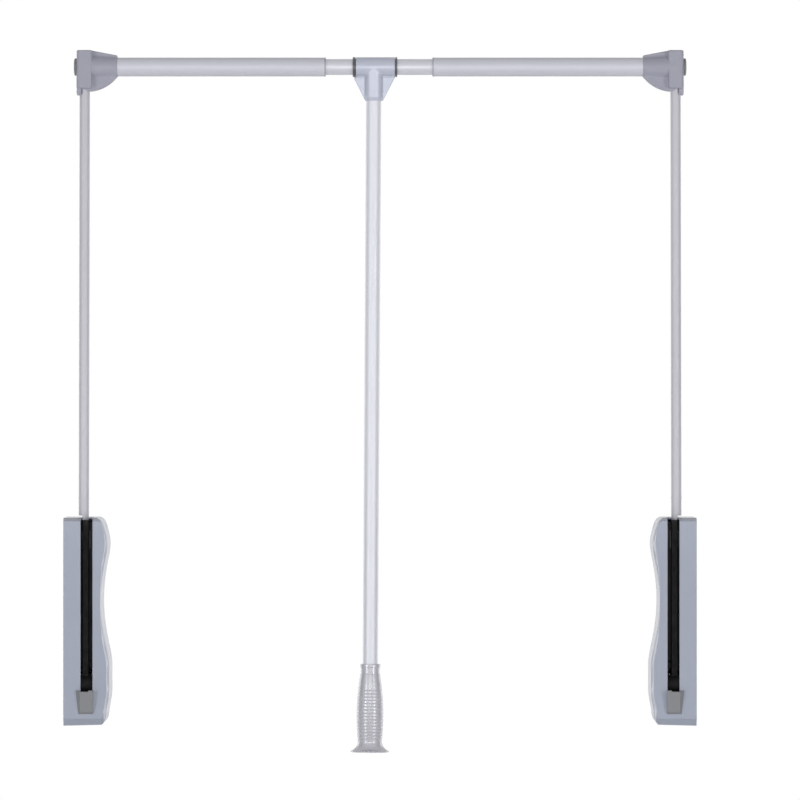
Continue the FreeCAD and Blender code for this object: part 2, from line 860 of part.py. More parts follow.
def make_hub_bush():
    inner = axle_radius + bearing_gap
    return tube_x(inner + bush_wall, inner, hub_start, pinion_end, pivot_y, pivot_z)


def make_arm_tube():
    tube = tube_z(arm_radius, arm_radius - arm_wall, pivot_z + tongue_start, pivot_z + tube_end,
                  arm_wall_distance, pivot_y)
    pin_z = pivot_z + tube_start + pin_height
    pin_hole = rod_x(pin_radius + pin_gap, 0, inside_width / 2, pivot_y, pin_z)
    screw_z = pivot_z + arm_reach - arm_screw_below_rail
    screw_hole = rod_y(bracket_screw_radius, pivot_y, pivot_y + housing_depth,
                       arm_wall_distance, screw_z)
    return leaned(tube.cut([beside_slot(), pin_hole, screw_hole]))


def make_arm_pin():
    pin_z = pivot_z + tube_start + pin_height
    left = arm_wall_distance - arm_radius
    right = arm_wall_distance + arm_radius
    return leaned(rod_x(pin_radius, left, right, pivot_y, pin_z))


# ---- corner bracket ----
def make_corner_bracket():
    """Boss and half collar for the arm, socket for the rail, and the web that stiffens them."""
    axis_z = pivot_z + arm_reach
    boss = box(
        boss_start, boss_end,
        pivot_y - boss_half_depth, pivot_y + boss_half_depth,
        axis_z + boss_bottom, axis_z + boss_top,
    )
    boss = boss.makeFillet(boss_wall_rounding, upright_edges(boss, boss_start))
    boss = boss.makeFillet(boss_rail_rounding, upright_edges(boss, boss_end))
    collar = box(
        boss_start, boss_start + collar_width,
        pivot_y - collar_half_depth, pivot_y + collar_half_depth,
        axis_z + collar_bottom, axis_z,
    )
    socket = Part.makeCone(
        socket_start_radius, socket_end_radius, socket_end - arm_wall_distance,
        Vector(arm_wall_distance, pivot_y, axis_z), Vector(1, 0, 0),
    )
    web = make_corner_web(axis_z)
    body = fuse_all([boss, collar, socket, web])
    arm_bore = rod_z(arm_radius + arm_fit, axis_z + collar_bottom,
                     axis_z - arm_end_below_rail, arm_wall_distance, pivot_y)
    rail_bore = tube_x(
        outer_rail_radius + arm_fit, outer_rail_radius - outer_rail_wall - rail_plug_gap,
        boss_end, socket_end, pivot_y, axis_z,
    )
    spigot_end = boss_end + spigot_in_rail_length
    beyond_spigot = rod_x(outer_rail_radius + arm_fit, spigot_end, socket_end, pivot_y, axis_z)
    core_hole = rod_x(core_hole_radius, boss_start, boss_start + core_hole_depth,
                      pivot_y, axis_z)
    body = body.cut([arm_bore, rail_bore, beyond_spigot, core_hole])
    body = body.cut(corner_screw_blanks())
    return leaned(body)


def make_corner_web(axis_z):
    """A thin web with a straight slope above and a hollow curve below."""
    y0 = pivot_y - web_half_depth
    top_start = Vector(arm_wall_distance, y0, axis_z + boss_top)
    top_boss = Vector(boss_end, y0, axis_z + boss_top)
    top_end = Vector(socket_end, y0, axis_z + web_end_top)
    bottom_end = Vector(socket_end, y0, axis_z + web_end_bottom)
    bottom_boss = Vector(boss_end, y0, axis_z + web_start_bottom)
    bottom_start = Vector(arm_wall_distance, y0, axis_z + web_start_bottom)
    middle = (bottom_boss + bottom_end) / 2
    bend = Vector(middle.x, y0, middle.z - web_bulge)
    edges = [
        Part.makeLine(top_start, top_boss),
        Part.makeLine(top_boss, top_end),
        Part.makeLine(top_end, bottom_end),
        Part.Arc(bottom_end, bend, bottom_boss).toShape(),
        Part.makeLine(bottom_boss, bottom_start),
        Part.makeLine(bottom_start, top_start),
    ]
    return Part.Face(Part.Wire(edges)).extrude(Vector(0, 2 * web_half_depth, 0))


def corner_screw_blanks():
    """Two screws from behind: one into the rail, one into the arm tube."""
    axis_z = pivot_z + arm_reach
    rail_x = boss_end + rail_screw_from_boss
    rail_outer = pivot_y + socket_end_radius + bracket_screw_head_height
    arm_outer = pivot_y + boss_half_depth + bracket_screw_head_height
    arm_z = axis_z - arm_screw_below_rail
    blanks = []
    for x, z, outer in ((rail_x, axis_z, rail_outer), (arm_wall_distance, arm_z, arm_outer)):
        head_start = outer - bracket_screw_head_height
        shank = rod_y(bracket_screw_radius, pivot_y + arm_radius - arm_wall, head_start, x, z)
        head = rod_y(bracket_screw_head_radius, head_start, outer, x, z)
        blanks.append(shank.fuse(head))
    return blanks


def make_corner_screws():
    return leaned(Part.makeCompound(corner_screw_blanks()))


def make_corner_cap():
    """A domed round cap over the core hole on the wall side."""
    axis_z = pivot_z + arm_reach
    plug = rod_x(core_hole_radius, boss_start, boss_start + core_hole_depth, pivot_y, axis_z)
    ball_radius = (cap_radius ** 2 + cap_height ** 2) / (2 * cap_height)
    ball_x = boss_start - cap_height + ball_radius
    ball = Part.makeSphere(ball_radius, Vector(ball_x, pivot_y, axis_z))
    slab = rod_x(cap_radius, boss_start - cap_height, boss_start, pivot_y, axis_z)
    return leaned(plug.fuse(ball.common(slab)).removeSplitter())


# ---- telescopic rail ----
def make_outer_tube(x0, x1):
    tube = tube_x(outer_rail_radius, outer_rail_radius - outer_rail_wall, x0, x1, rail_y, rail_z)
    return tube.cut(leaned(corner_screw_blanks()[0]))


def make_tube_sleeve(end):
    bore = inner_rail_radius + glide_gap
    outside = outer_rail_radius - outer_rail_wall - sleeve_fit
    sleeve = tube_x(outside, bore, end - sleeve_length, end, rail_y, rail_z)
    flange = tube_x(sleeve_flange_radius, bore, end, end + sleeve_flange, rail_y, rail_z)
    return sleeve.fuse(flange).removeSplitter()


def make_inner_tube():
    return tube_x(
        inner_rail_radius, inner_rail_radius - inner_rail_wall,
        left_rail_end - rail_engagement, right_rail_end + rail_engagement,
        rail_y, rail_z,
    )


def make_stop_rings():
    left = tube_x(ring_radius, inner_rail_radius, left_ring_end - left_ring_width,
                  left_ring_end, rail_y, rail_z)
    right = tube_x(ring_radius, inner_rail_radius, right_ring_start,
                   right_ring_start + right_ring_width, rail_y, rail_z)
    return Part.makeCompound([left, right])


# ---- T holder, pull rod and grip ----
liner_inner = inner_rail_radius + liner_gap
liner_outer = liner_inner + liner_wall


def make_tee_body():
    barrel = rod_x(tee_radius, tee_left, tee_right, rail_y, rail_z)
    stem = rod_z(stem_radius, rail_z + stem_bottom, rail_z, tee_x, rail_y)
    lip_z = rail_z - ring_radius - ring_gap
    gussets = plate_y(
        [
            (tee_left, rail_z + gusset_root),
            (tee_left, lip_z),
            (tee_x - gusset_half_width, lip_z),
            (tee_x - gusset_foot_half_width, rail_z + stem_bottom),
            (tee_x + gusset_foot_half_width, rail_z + stem_bottom),
            (tee_x + gusset_half_width, lip_z),
            (tee_right, lip_z),
            (tee_right, rail_z + gusset_root),
        ],
        rail_y - gusset_half_depth, rail_y + gusset_half_depth,
    )
    body = fuse_all([barrel, stem, gussets])
    rail_bore = rod_x(liner_outer, tee_left, tee_right, rail_y, rail_z)
    rod_bore = rod_z(pull_rod_radius + rod_fit, rail_z + stem_bottom - stem_radius,
                     rail_z + pull_rod_top, tee_x, rail_y)
    return body.cut([rail_bore, hung(rod_bore), rod_screw_blank()])


def hung(shape):
    """Tilts a piece that was drawn on an upright pull rod."""
    tilted = shape.copy()
    tilted.rotate(Vector(tee_x, rail_y, rail_z + stem_bottom), Vector(0, 1, 0), rod_tilt)
    return tilted


def make_tee_liner():
    return tube_x(liner_outer, liner_inner, tee_left, tee_right, rail_y, rail_z)


def rod_screw_blank():
    z = rail_z + rod_screw_height
    head_start = rail_y + stem_radius
    shank = rod_y(rod_screw_radius, rail_y + pull_rod_radius - pull_rod_wall, head_start, tee_x, z)
    head = rod_y(rod_screw_head_radius, head_start, head_start + rod_screw_head_height, tee_x, z)
    return shank.fuse(head)


def make_pull_rod():
    low = rail_z - pull_rod_drop + grip_floor
    high = rail_z + pull_rod_top
    rod = tube_z(pull_rod_radius, pull_rod_radius - pull_rod_wall, low, high, tee_x, rail_y)
    return hung(rod).cut(rod_screw_blank())


def grip_barrel():
    """The barrel's side as an arc from its neck to the start of the flare."""
    low = grip_flare_height
    high = grip_length - grip_collar_height - grip_neck_height
    middle = (low + high) / 2
    return Part.Arc(
        Vector(grip_barrel_start_radius, 0, high),
        Vector(grip_barrel_radius, 0, middle),
        Vector(grip_barrel_end_radius, 0, low),
    )


def make_grip():
    neck_top = grip_length - grip_collar_height
    barrel_top = neck_top - grip_neck_height
    flare_bend = Vector(grip_flare_bend_radius, 0, grip_flare_bend_height)
    corners = [
        Vector(0, 0, 0),
        Vector(0, 0, grip_length),
        Vector(grip_collar_radius, 0, grip_length),
        Vector(grip_collar_radius, 0, neck_top),
        Vector(grip_neck_radius, 0, neck_top),
        Vector(grip_neck_radius, 0, barrel_top),
        Vector(grip_barrel_start_radius, 0, barrel_top),
    ]
    flare_start = Vector(grip_barrel_end_radius, 0, grip_flare_height)
    flare_end = Vector(grip_flare_radius, 0, grip_rim_height)
    rim = Vector(grip_flare_radius, 0, 0)
    edges = [Part.makeLine(a, b) for a, b in zip(corners, corners[1:])]
    edges.append(grip_barrel().toShape())
    edges.append(Part.Arc(flare_start, flare_bend, flare_end).toShape())
    edges.append(Part.makeLine(flare_end, rim))
    edges.append(Part.makeLine(rim, corners[0]))
    body = Part.Face(Part.Wire(edges)).revolve(Vector(0, 0, 0), Vector(0, 0, 1), 360)
    circle = grip_barrel().toShape().Curve
    grooves = []
    for groove in range(groove_count):
        z = groove_bottom_rise + groove * groove_pitch
        radius = circle.Center.x + math.sqrt(circle.Radius ** 2 - (z - circle.Center.z) ** 2)
        grooves.append(Part.makeTorus(radius, groove_radius, Vector(0, 0, z), Vector(0, 0, 1)))
    bore = rod_z(pull_rod_radius + rod_fit, grip_floor, grip_length, 0, 0)
    socket = rod_z(plug_radius + plug_gap, 0, plug_height, 0, 0)
    body = body.cut(grooves + [bore, socket])
    body.translate(Vector(tee_x, rail_y, rail_z - pull_rod_drop))
    return hung(body)


def make_grip_plug():
    bottom = rail_z - pull_rod_drop
    return hung(rod_z(plug_radius, bottom, bottom + plug_height, tee_x, rail_y))


# ---- all pieces ----
side_pieces = {
    "base_plate": make_base_plate(),
    "cover": make_cover(),
    "cover_screws": make_cover_screws(),
    "standoffs": make_standoffs(),
    "landing_block": make_landing_block(),
    "pivot_axle": make_pivot_axle(),
    "cheek_plate": make_cheek_plate(),
    "rack_guide": make_rack_guide(),
    "upper_bracket": make_upper_bracket(),
    "spring_guard": make_spring_guard(),
    "rest_bumper": make_rest_bumper(),
    "damper_body": make_damper_body(),
    "damper_rod": make_damper_rod(),
    "crosshead": make_crosshead(),
    "drive_pinion": make_pinion(),
    "drive_rack": make_rack(),
    "arm_lever": make_arm_lever(),
    "hub_bush": make_hub_bush(),
    "arm_tube": make_arm_tube(),
    "arm_pin": make_arm_pin(),
    "corner_bracket": make_corner_bracket(),
    "corner_cap": make_corner_cap(),
    "corner_screws": make_corner_screws(),
}
pieces = {}
for name, shape in side_pieces.items():
    pieces["left_" + name] = shape
    pieces["right_" + name] = mirrored(shape)

left_spring = make_lift_spring()
right_spring = left_spring.copy()
right_spring.translate(Vector(inside_width - 2 * spring_x, 0, 0))
pieces["left_lift_spring"] = left_spring
pieces["right_lift_spring"] = right_spring

pieces["left_outer_tube"] = make_outer_tube(boss_end, left_rail_end)
pieces["left_tube_sleeve"] = make_tube_sleeve(left_rail_end)
pieces["right_outer_tube"] = mirrored(make_outer_tube(boss_end, inside_width - right_rail_end))
pieces["right_tube_sleeve"] = mirrored(make_tube_sleeve(inside_width - right_rail_end))

pieces["inner_tube"] = make_inner_tube()
pieces["stop_rings"] = make_stop_rings()
pieces["tee_body"] = make_tee_body()
pieces["tee_liner"] = make_tee_liner()
pieces["pull_rod"] = make_pull_rod()
pieces["rod_screw"] = rod_screw_blank()
pieces["grip"] = make_grip()
pieces["grip_plug"] = make_grip_plug()

for name, shape in pieces.items():
    shape.exportStep("parts/" + name + ".step")
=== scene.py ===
"""The looks of a pull-down closet rod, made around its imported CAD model.

The frame is in metres. Shapes are drawn in millimetres and turned into metres when they are placed.
"""
import json
import math

import bpy
import numpy as np
import openvdb
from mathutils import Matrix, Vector

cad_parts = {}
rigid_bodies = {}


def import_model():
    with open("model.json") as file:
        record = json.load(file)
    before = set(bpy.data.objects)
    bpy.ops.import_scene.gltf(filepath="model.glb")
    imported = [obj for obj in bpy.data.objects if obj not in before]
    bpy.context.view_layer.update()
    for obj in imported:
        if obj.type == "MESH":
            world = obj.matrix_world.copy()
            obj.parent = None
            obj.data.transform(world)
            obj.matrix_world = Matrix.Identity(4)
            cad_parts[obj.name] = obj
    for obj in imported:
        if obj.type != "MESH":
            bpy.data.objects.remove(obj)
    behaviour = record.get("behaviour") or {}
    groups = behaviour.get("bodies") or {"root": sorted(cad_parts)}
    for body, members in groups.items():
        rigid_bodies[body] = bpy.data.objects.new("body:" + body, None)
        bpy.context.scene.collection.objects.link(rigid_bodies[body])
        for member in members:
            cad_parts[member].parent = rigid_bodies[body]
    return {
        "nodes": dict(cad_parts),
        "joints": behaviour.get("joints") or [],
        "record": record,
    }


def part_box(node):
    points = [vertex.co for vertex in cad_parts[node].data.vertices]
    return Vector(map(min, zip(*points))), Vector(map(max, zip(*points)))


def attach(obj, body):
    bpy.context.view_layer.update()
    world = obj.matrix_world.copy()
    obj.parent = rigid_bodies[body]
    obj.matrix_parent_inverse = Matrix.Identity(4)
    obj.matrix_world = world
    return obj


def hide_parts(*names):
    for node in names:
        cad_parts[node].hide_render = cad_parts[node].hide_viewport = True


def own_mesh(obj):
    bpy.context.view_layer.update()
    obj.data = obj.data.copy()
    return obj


for thing in list(bpy.data.objects):
    bpy.data.objects.remove(thing)

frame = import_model()
bpy.context.view_layer.update()
nodes = frame["nodes"]
joints = {joint["name"]: joint for joint in frame["joints"]}
slot_of = {part["node"]: part["material_slot"] for part in frame["record"]["subparts"]}

MM = 0.001
SIDES = ("left", "right")

# ---- places read from the frame ----
pivot = Vector(joints["arm_swing"]["pos_m"])
rail_low, rail_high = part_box("inner_tube")
rail_axis = (rail_low + rail_high) / 2
cabinet_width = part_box("right_base_plate")[1].x
arm_lean = math.atan2(rail_axis.y - pivot.y, rail_axis.z - pivot.z)
tee_x = joints["pull_rod_swivel"]["pos_m"][0]
tee_place = np.array((tee_x, rail_axis.y, rail_axis.z))


# ---- materials ----
WHITE = (1.0, 1.0, 1.0, 1.0)
NOISE_MIDDLE = (0.3, 0.7)       # where nearly all of a noise's values lie


def linear(red, green, blue):
    """An 8-bit sRGB colour as scene-linear red, green and blue, with alpha."""
    def decoded(value):
        share = value / 255
        return share / 12.92 if share <= 0.04045 else ((share + 0.055) / 1.055) ** 2.4
    return (decoded(red), decoded(green), decoded(blue), 1.0)


def add_node(tree, kind, values=None, **settings):
    """A new shader node with its settings and the values of its inputs."""
    node = tree.nodes.new("ShaderNode" + kind)
    for name, value in settings.items():
        setattr(node, name, value)
    for socket, value in (values or {}).items():
        node.inputs[socket].default_value = value
    return node


class Finish:
    """A material with a Principled shader, and the nodes that vary it over the surface."""

    def __init__(self, name, colour, roughness, metallic=0.0, coat=0.0, coat_roughness=0.12):
        self.material = bpy.data.materials.new(name)
        self.material.use_nodes = True
        self.tree = self.material.node_tree
        self.shader = self.tree.nodes["Principled BSDF"]
        self.colour = colour
        self.roughness = roughness
        self.normal = None
        for socket, value in (
            ("Base Color", colour),
            ("Roughness", roughness),
            ("Metallic", metallic),
            ("Coat Weight", coat),
            ("Coat Roughness", coat_roughness),
        ):
            self.shader.inputs[socket].default_value = value
        self.place = add_node(self.tree, "TexCoord").outputs["Object"]

    def link(self, source, target):
        self.tree.links.new(source, target)

    def noise(self, scale, detail, stretch=(1.0, 1.0, 1.0)):
        """Noise in the object's own space. scale is in waves per metre."""
        mapping = add_node(self.tree, "Mapping", {"Scale": stretch})
        texture = add_node(self.tree, "TexNoise", {"Scale": scale, "Detail": detail})
        self.link(self.place, mapping.inputs["Vector"])
        self.link(mapping.outputs["Vector"], texture.inputs["Vector"])
        return texture.outputs["Fac"]

    def ranged(self, source, low, high):
        """The middle of a noise spread over low to high."""
        spread = add_node(self.tree, "MapRange", {
            "From Min": NOISE_MIDDLE[0],
            "From Max": NOISE_MIDDLE[1],
            "To Min": low,
            "To Max": high,
        })
        self.link(source, spread.inputs["Value"])
        return spread.outputs["Result"]

    def vary_roughness(self, source, spread):
        rough = self.ranged(source, self.roughness - spread, self.roughness + spread)
        self.link(rough, self.shader.inputs["Roughness"])

    def vary_colour(self, source, share):
        """The colour goes darker and lighter by a share of itself."""
        dark = [channel * (1 - share) for channel in self.colour[:3]] + [1.0]
        light = [min(1.0, channel * (1 + share)) for channel in self.colour[:3]] + [1.0]
        mix = add_node(self.tree, "Mix", {"A": dark, "B": light}, data_type="RGBA")
        self.link(self.ranged(source, 0.0, 1.0), mix.inputs["Factor"])
        self.link(mix.outputs["Result"], self.shader.inputs["Base Color"])

    def bump(self, source, depth):
        """A bump of so many metres, on top of those made before."""
        node = add_node(self.tree, "Bump", {"Strength": 1.0, "Distance": depth})
        self.link(source, node.inputs["Height"])
        if self.normal is not None:
            self.link(self.normal, node.inputs["Normal"])
        self.normal = node.outputs["Normal"]
        self.link(self.normal, self.shader.inputs["Normal"])


def moulded_plastic(name, colour, roughness, grain=0.00001, metallic=0.0, coat=0.0):
    """Moulded plastic: a fine eroded grain, soft flow marks and handling haze."""
    finish = Finish(name, colour, roughness, metallic, coat)
    finish.bump(finish.noise(2600, detail=2), depth=grain)
    finish.bump(finish.noise(60, detail=3), depth=grain * 2)
    finish.vary_roughness(finish.noise(45, detail=5), spread=0.05)
    finish.vary_colour(finish.noise(9, detail=3, stretch=(1, 1, 0.4)), share=0.035)
    return finish.material


def extruded_metal(name, colour, roughness, along, metallic):
    """Anodised tube: fine die lines that run along one axis, and a cloudy haze."""
    finish = Finish(name, colour, roughness, metallic)
    stretch = [0.02 if axis == along else 1.0 for axis in "xyz"]
    finish.bump(finish.noise(5200, detail=3, stretch=stretch), depth=0.000004)
    finish.vary_roughness(finish.noise(1400, detail=4, stretch=stretch), spread=0.06)
    finish.vary_colour(finish.noise(30, detail=4, stretch=stretch), share=0.03)
    return finish.material


def plated_steel(name, colour, roughness):
    """Turned or rolled steel with fine marks and slightly cloudy plating."""
    finish = Finish(name, colour, roughness, metallic=1.0)
    finish.bump(finish.noise(4000, detail=3, stretch=(1.0, 0.2, 0.2)), depth=0.000006)
    finish.vary_roughness(finish.noise(220, detail=5), spread=0.08)
    finish.vary_colour(finish.noise(120, detail=4), share=0.08)
    return finish.material


def painted_metal(name, colour, roughness):
    """Powder coat: orange peel over steel or a casting."""
    finish = Finish(name, colour, roughness)
    finish.bump(finish.noise(1500, detail=2), depth=0.00004)
    finish.vary_roughness(finish.noise(160, detail=5), spread=0.08)
    finish.vary_colour(finish.noise(60, detail=4), share=0.25)
    return finish.material


def rubber(name, colour, roughness):
    """Matt rubber with the soft gloss of its moulded skin."""
    finish = Finish(name, colour, roughness, coat=0.8, coat_roughness=0.35)
    finish.bump(finish.noise(3000, detail=2), depth=0.00003)
    finish.vary_roughness(finish.noise(200, detail=4), spread=0.06)
    finish.vary_colour(finish.noise(150, detail=3), share=0.2)
    return finish.material


# Each material slot: the kind of finish, its sRGB colour and roughness, and what else it takes.
FINISHES = {
    "cover_plastic": (moulded_plastic, (160, 166, 183), 0.5, {"coat": 0.55}),
    "landing_block_plastic": (moulded_plastic, (137, 138, 142), 0.6, {}),
    "corner_plastic": (moulded_plastic, (166, 167, 181), 0.5, {}),
    "cap_plastic": (moulded_plastic, (133, 133, 136), 0.5, {}),
    "tee_plastic": (moulded_plastic, (193, 197, 212), 0.4, {"metallic": 0.25}),
    "grip_plastic": (moulded_plastic, (190, 190, 197), 0.31, {"grain": 0.000002, "metallic": 0.22}),
    "nylon": (moulded_plastic, (226, 224, 214), 0.45, {}),
    "grey_nylon": (moulded_plastic, (176, 178, 186), 0.45, {}),
    # This black also dresses the slot's liner and back wall: a dark sheet that paints the shade
    # inside the housing.
    "black_plastic": (moulded_plastic, (20, 20, 22), 0.5, {}),
    "arm_metal": (extruded_metal, (193, 192, 199), 0.55, {"along": "z", "metallic": 0.3}),
    "rail_metal": (extruded_metal, (210, 210, 220), 0.55, {"along": "x", "metallic": 0.2}),
    "inner_tube_metal": (extruded_metal, (214, 215, 223), 0.42, {"along": "x", "metallic": 0.3}),
    "rod_metal": (extruded_metal, (216, 217, 224), 0.5, {"along": "z", "metallic": 0.3}),
    "zinc_plated_steel": (plated_steel, (186, 190, 194), 0.38, {}),
    "screw_steel": (plated_steel, (148, 150, 154), 0.38, {}),
    "turned_steel": (plated_steel, (170, 171, 174), 0.25, {}),
    "spring_steel": (plated_steel, (84, 85, 90), 0.35, {}),
    "black_lacquered_steel": (painted_metal, (28, 28, 30), 0.3, {}),
    "black_lever": (painted_metal, (15, 15, 17), 0.65, {}),
    "black_gear_steel": (painted_metal, (24, 24, 26), 0.5, {}),
    "black_casting": (painted_metal, (20, 20, 22), 0.5, {}),
    "black_rubber": (rubber, (66, 66, 72), 0.45, {}),
}
materials = {
    name: make(name, linear(*colour), roughness, **more)
    for name, (make, colour, roughness, more) in FINISHES.items()
}


# ---- carried-over pieces: finish and rounded edges ----
WELD_DISTANCE = 0.000002
FLAT_ANGLE = math.radians(0.5)      # faces that meet at less are one flat face
EDGE_ANGLE = math.radians(32)       # faces that meet at more have an edge between them
EDGE_SEGMENTS = 3
EDGE_ROUNDING = {
    "cover": 0.0014,
    "landing_block": 0.0010,
    "tube_sleeve": 0.0003,
    "base_plate": 0.0003,
    "outer_tube": 0.0003,
    "arm_tube": 0.0003,
}


def round_edges(piece, width):
    weld = piece.modifiers.new("weld", "WELD")
    weld.merge_threshold = WELD_DISTANCE
    flat = piece.modifiers.new("flat", "DECIMATE")
    flat.decimate_type = "DISSOLVE"
    flat.angle_limit = FLAT_ANGLE
    bevel = piece.modifiers.new("bevel", "BEVEL")
    bevel.width = width
    bevel.segments = EDGE_SEGMENTS
    bevel.limit_method = "ANGLE"
    bevel.angle_limit = EDGE_ANGLE
    piece.modifiers.new("shade", "WEIGHTED_NORMAL")


for name, node in nodes.items():
    node.data.materials.clear()
    node.data.materials.append(materials[slot_of[name]])
for side in SIDES:
    for name, width in EDGE_ROUNDING.items():
        round_edges(nodes[side + "_" + name], width)


# ---- shapes given by a signed distance, in millimetres ----
CELL = 0.5
BAND_CELLS = 3          # how far from the surface the grid still holds the distance
REFINING_ROUNDS = 4
SLOPE_STEP = 0.01


def soft_min(first, second, blend):
    """The union of two shapes with a fillet about as wide as blend."""
    share = np.clip(0.5 + 0.5 * (second - first) / blend, 0, 1)
    return second * (1 - share) + first * share - blend * share * (1 - share)


def soft_max(first, second, blend):
    """What two shapes share, with an edge rounded about as wide as blend."""
    return -soft_min(-first, -second, blend)


def rounded_overlap(first, second, rounding):
    """What two shapes share, with the edges between them rounded."""
    first, second = first + rounding, second + rounding
    outside = np.hypot(np.maximum(first, 0), np.maximum(second, 0))
    return np.minimum(np.maximum(first, second), 0) + outside - rounding


def rounded_slab(section, along, low, high, rounding):
    """A flat section between two planes, with rounded rims."""
    between = np.abs(along - (low + high) / 2) - (high - low) / 2
    return rounded_overlap(section, between, rounding)


def polygon_distance(u, v, corners):
    """Signed distance of points (u, v) to a polygon."""
    nearest = np.full(u.shape, np.inf)
    inside = np.zeros(u.shape, dtype=bool)
    for (u0, v0), (u1, v1) in zip(corners, corners[1:] + corners[:1]):
        run_u, run_v = u1 - u0, v1 - v0
        share = ((u - u0) * run_u + (v - v0) * run_v) / (run_u ** 2 + run_v ** 2)
        share = np.clip(share, 0, 1)
        gap = np.hypot(u - u0 - share * run_u, v - v0 - share * run_v)
        nearest = np.minimum(nearest, gap)
        crosses = (v0 > v) != (v1 > v)
        with np.errstate(divide="ignore", invalid="ignore"):
            crossing = u0 + (v - v0) * run_u / run_v
        inside ^= crosses & (u < crossing)
    return np.where(inside, -nearest, nearest)


def outline_inset(corners, inset):
    """A convex polygon, listed clockwise, moved inwards."""
    lines = []
    for (u0, v0), (u1, v1) in zip(corners, corners[1:] + corners[:1]):
        length = math.hypot(u1 - u0, v1 - v0)
        normal = ((v1 - v0) / length, -(u1 - u0) / length)
        lines.append((normal[0], normal[1], normal[0] * u0 + normal[1] * v0 + inset))
    moved = []
    for (a, b, c), (d, e, f) in zip(lines[-1:] + lines[:-1], lines):
        det = a * e - b * d
        moved.append(((c * e - b * f) / det, (a * f - c * d) / det))
    return moved


def slope_of(distance, points):
    """The unit gradient of a distance at points."""
    slope = np.empty_like(points)
    for axis in range(3):
        shift = np.zeros(3)
        shift[axis] = SLOPE_STEP
        slope[:, axis] = distance(points + shift) - distance(points - shift)
    return slope / np.linalg.norm(slope, axis=1, keepdims=True)


def mesh_of(distance, low, high):
    """Points, quads and normals of the surface where a distance is zero, in a box."""
    low = np.array(low, dtype=float)
    counts = np.ceil((np.array(high) - low) / CELL).astype(int) + 1
    axes = [low[axis] + CELL * np.arange(counts[axis]) for axis in range(3)]
    places = np.stack(np.meshgrid(*axes, indexing="ij"), axis=-1)
    grid = openvdb.FloatGrid()
    grid.background = CELL * BAND_CELLS
    grid.copyFromArray(distance(places).astype(np.float32))
    points, quads = grid.convertToQuads(0.0)
    points = low + points.astype(float) * CELL
    for _ in range(REFINING_ROUNDS):
        normals = slope_of(distance, points)
        points -= distance(points)[:, None] * normals
    return points, quads, slope_of(distance, points)


# ---- shapes turned round an axis, in millimetres ----
SEGMENTS = 96
EDGE_PARTS = 2.01       # a rounding takes up to one part of an edge in this many


def rounded_outline(corners, radius, steps=5):
    """An open outline of (radius, height) corners with its inner corners rounded."""
    corners = [np.array(corner, dtype=float) for corner in corners]
    points = corners[:1]
    for before, corner, after in zip(corners, corners[1:], corners[2:]):
        back = before - corner
        ahead = after - corner
        back_length, ahead_length = np.linalg.norm(back), np.linalg.norm(ahead)
        reach = min(radius, back_length / EDGE_PARTS, ahead_length / EDGE_PARTS)
        start = corner + back / back_length * reach
        end = corner + ahead / ahead_length * reach
        for step in range(steps + 1):
            share = step / steps
            rest = 1 - share
            points.append(rest ** 2 * start + 2 * share * rest * corner + share ** 2 * end)
    return np.array(points + corners[-1:])


def arc_through(first, middle, last, steps):
    """Points of the circle through three (u, v) points, from the first to the last."""
    (ax, ay), (bx, by), (cx, cy) = first, middle, last
    det = 2 * (ax * (by - cy) + bx * (cy - ay) + cx * (ay - by))
    squares = [px * px + py * py for px, py in (first, middle, last)]
    centre_u = (squares[0] * (by - cy) + squares[1] * (cy - ay) + squares[2] * (ay - by)) / det
    centre_v = (squares[0] * (cx - bx) + squares[1] * (ax - cx) + squares[2] * (bx - ax)) / det
    radius = math.hypot(ax - centre_u, ay - centre_v)
    start = math.atan2(ay - centre_v, ax - centre_u)
    turn = math.atan2(cy - centre_v, cx - centre_u) - start
    turn = (turn + math.pi) % (2 * math.pi) - math.pi
    angles = [start + turn * step / steps for step in range(steps + 1)]
    return [(centre_u + radius * math.cos(a), centre_v + radius * math.sin(a)) for a in angles]


def turned(outline, closed=False, segments=SEGMENTS):
    """Points, quads and normals of an outline of (radius, height) turned round Z."""
    outline = np.asarray(outline, dtype=float)
    if closed:
        ahead = np.roll(outline, -1, axis=0)
        behind = np.roll(outline, 1, axis=0)
    else:
        ahead = np.vstack([outline[1:], outline[-1:]])
        behind = np.vstack([outline[:1], outline[:-1]])
    run = ahead - behind
    run /= np.linalg.norm(run, axis=1, keepdims=True)
    across = np.stack([run[:, 1], -run[:, 0]], axis=1)
    angles = 2 * np.pi * np.arange(segments) / segments
    cos, sin = np.cos(angles), np.sin(angles)

    def round_z(pairs):
        return np.stack([
            np.outer(pairs[:, 0], cos),
            np.outer(pairs[:, 0], sin),
            np.repeat(pairs[:, 1:2], segments, axis=1),
        ], axis=-1).reshape(-1, 3)

    rings = len(outline)
    quads = []
    for ring in range(rings if closed else rings - 1):
        following = (ring + 1) % rings
        for turn in range(segments):
            beside = (turn + 1) % segments
            quads.append((
                ring * segments + turn, ring * segments + beside,
                following * segments + beside, following * segments + turn,
            ))
    return round_z(outline), np.array(quads), round_z(across)


# ---- placing ----
X_FIRST = [2, 0, 1]     # the order of axes that lays what was turned round Z along X


def tilted(vectors, angle, u, v):
    """Vectors turned by an angle in the plane of the axes u and v."""
    cos, sin = math.cos(angle), math.sin(angle)
    result = vectors.copy()
    result[:, u] = vectors[:, u] * cos + vectors[:, v] * sin
    result[:, v] = vectors[:, v] * cos - vectors[:, u] * sin
    return result


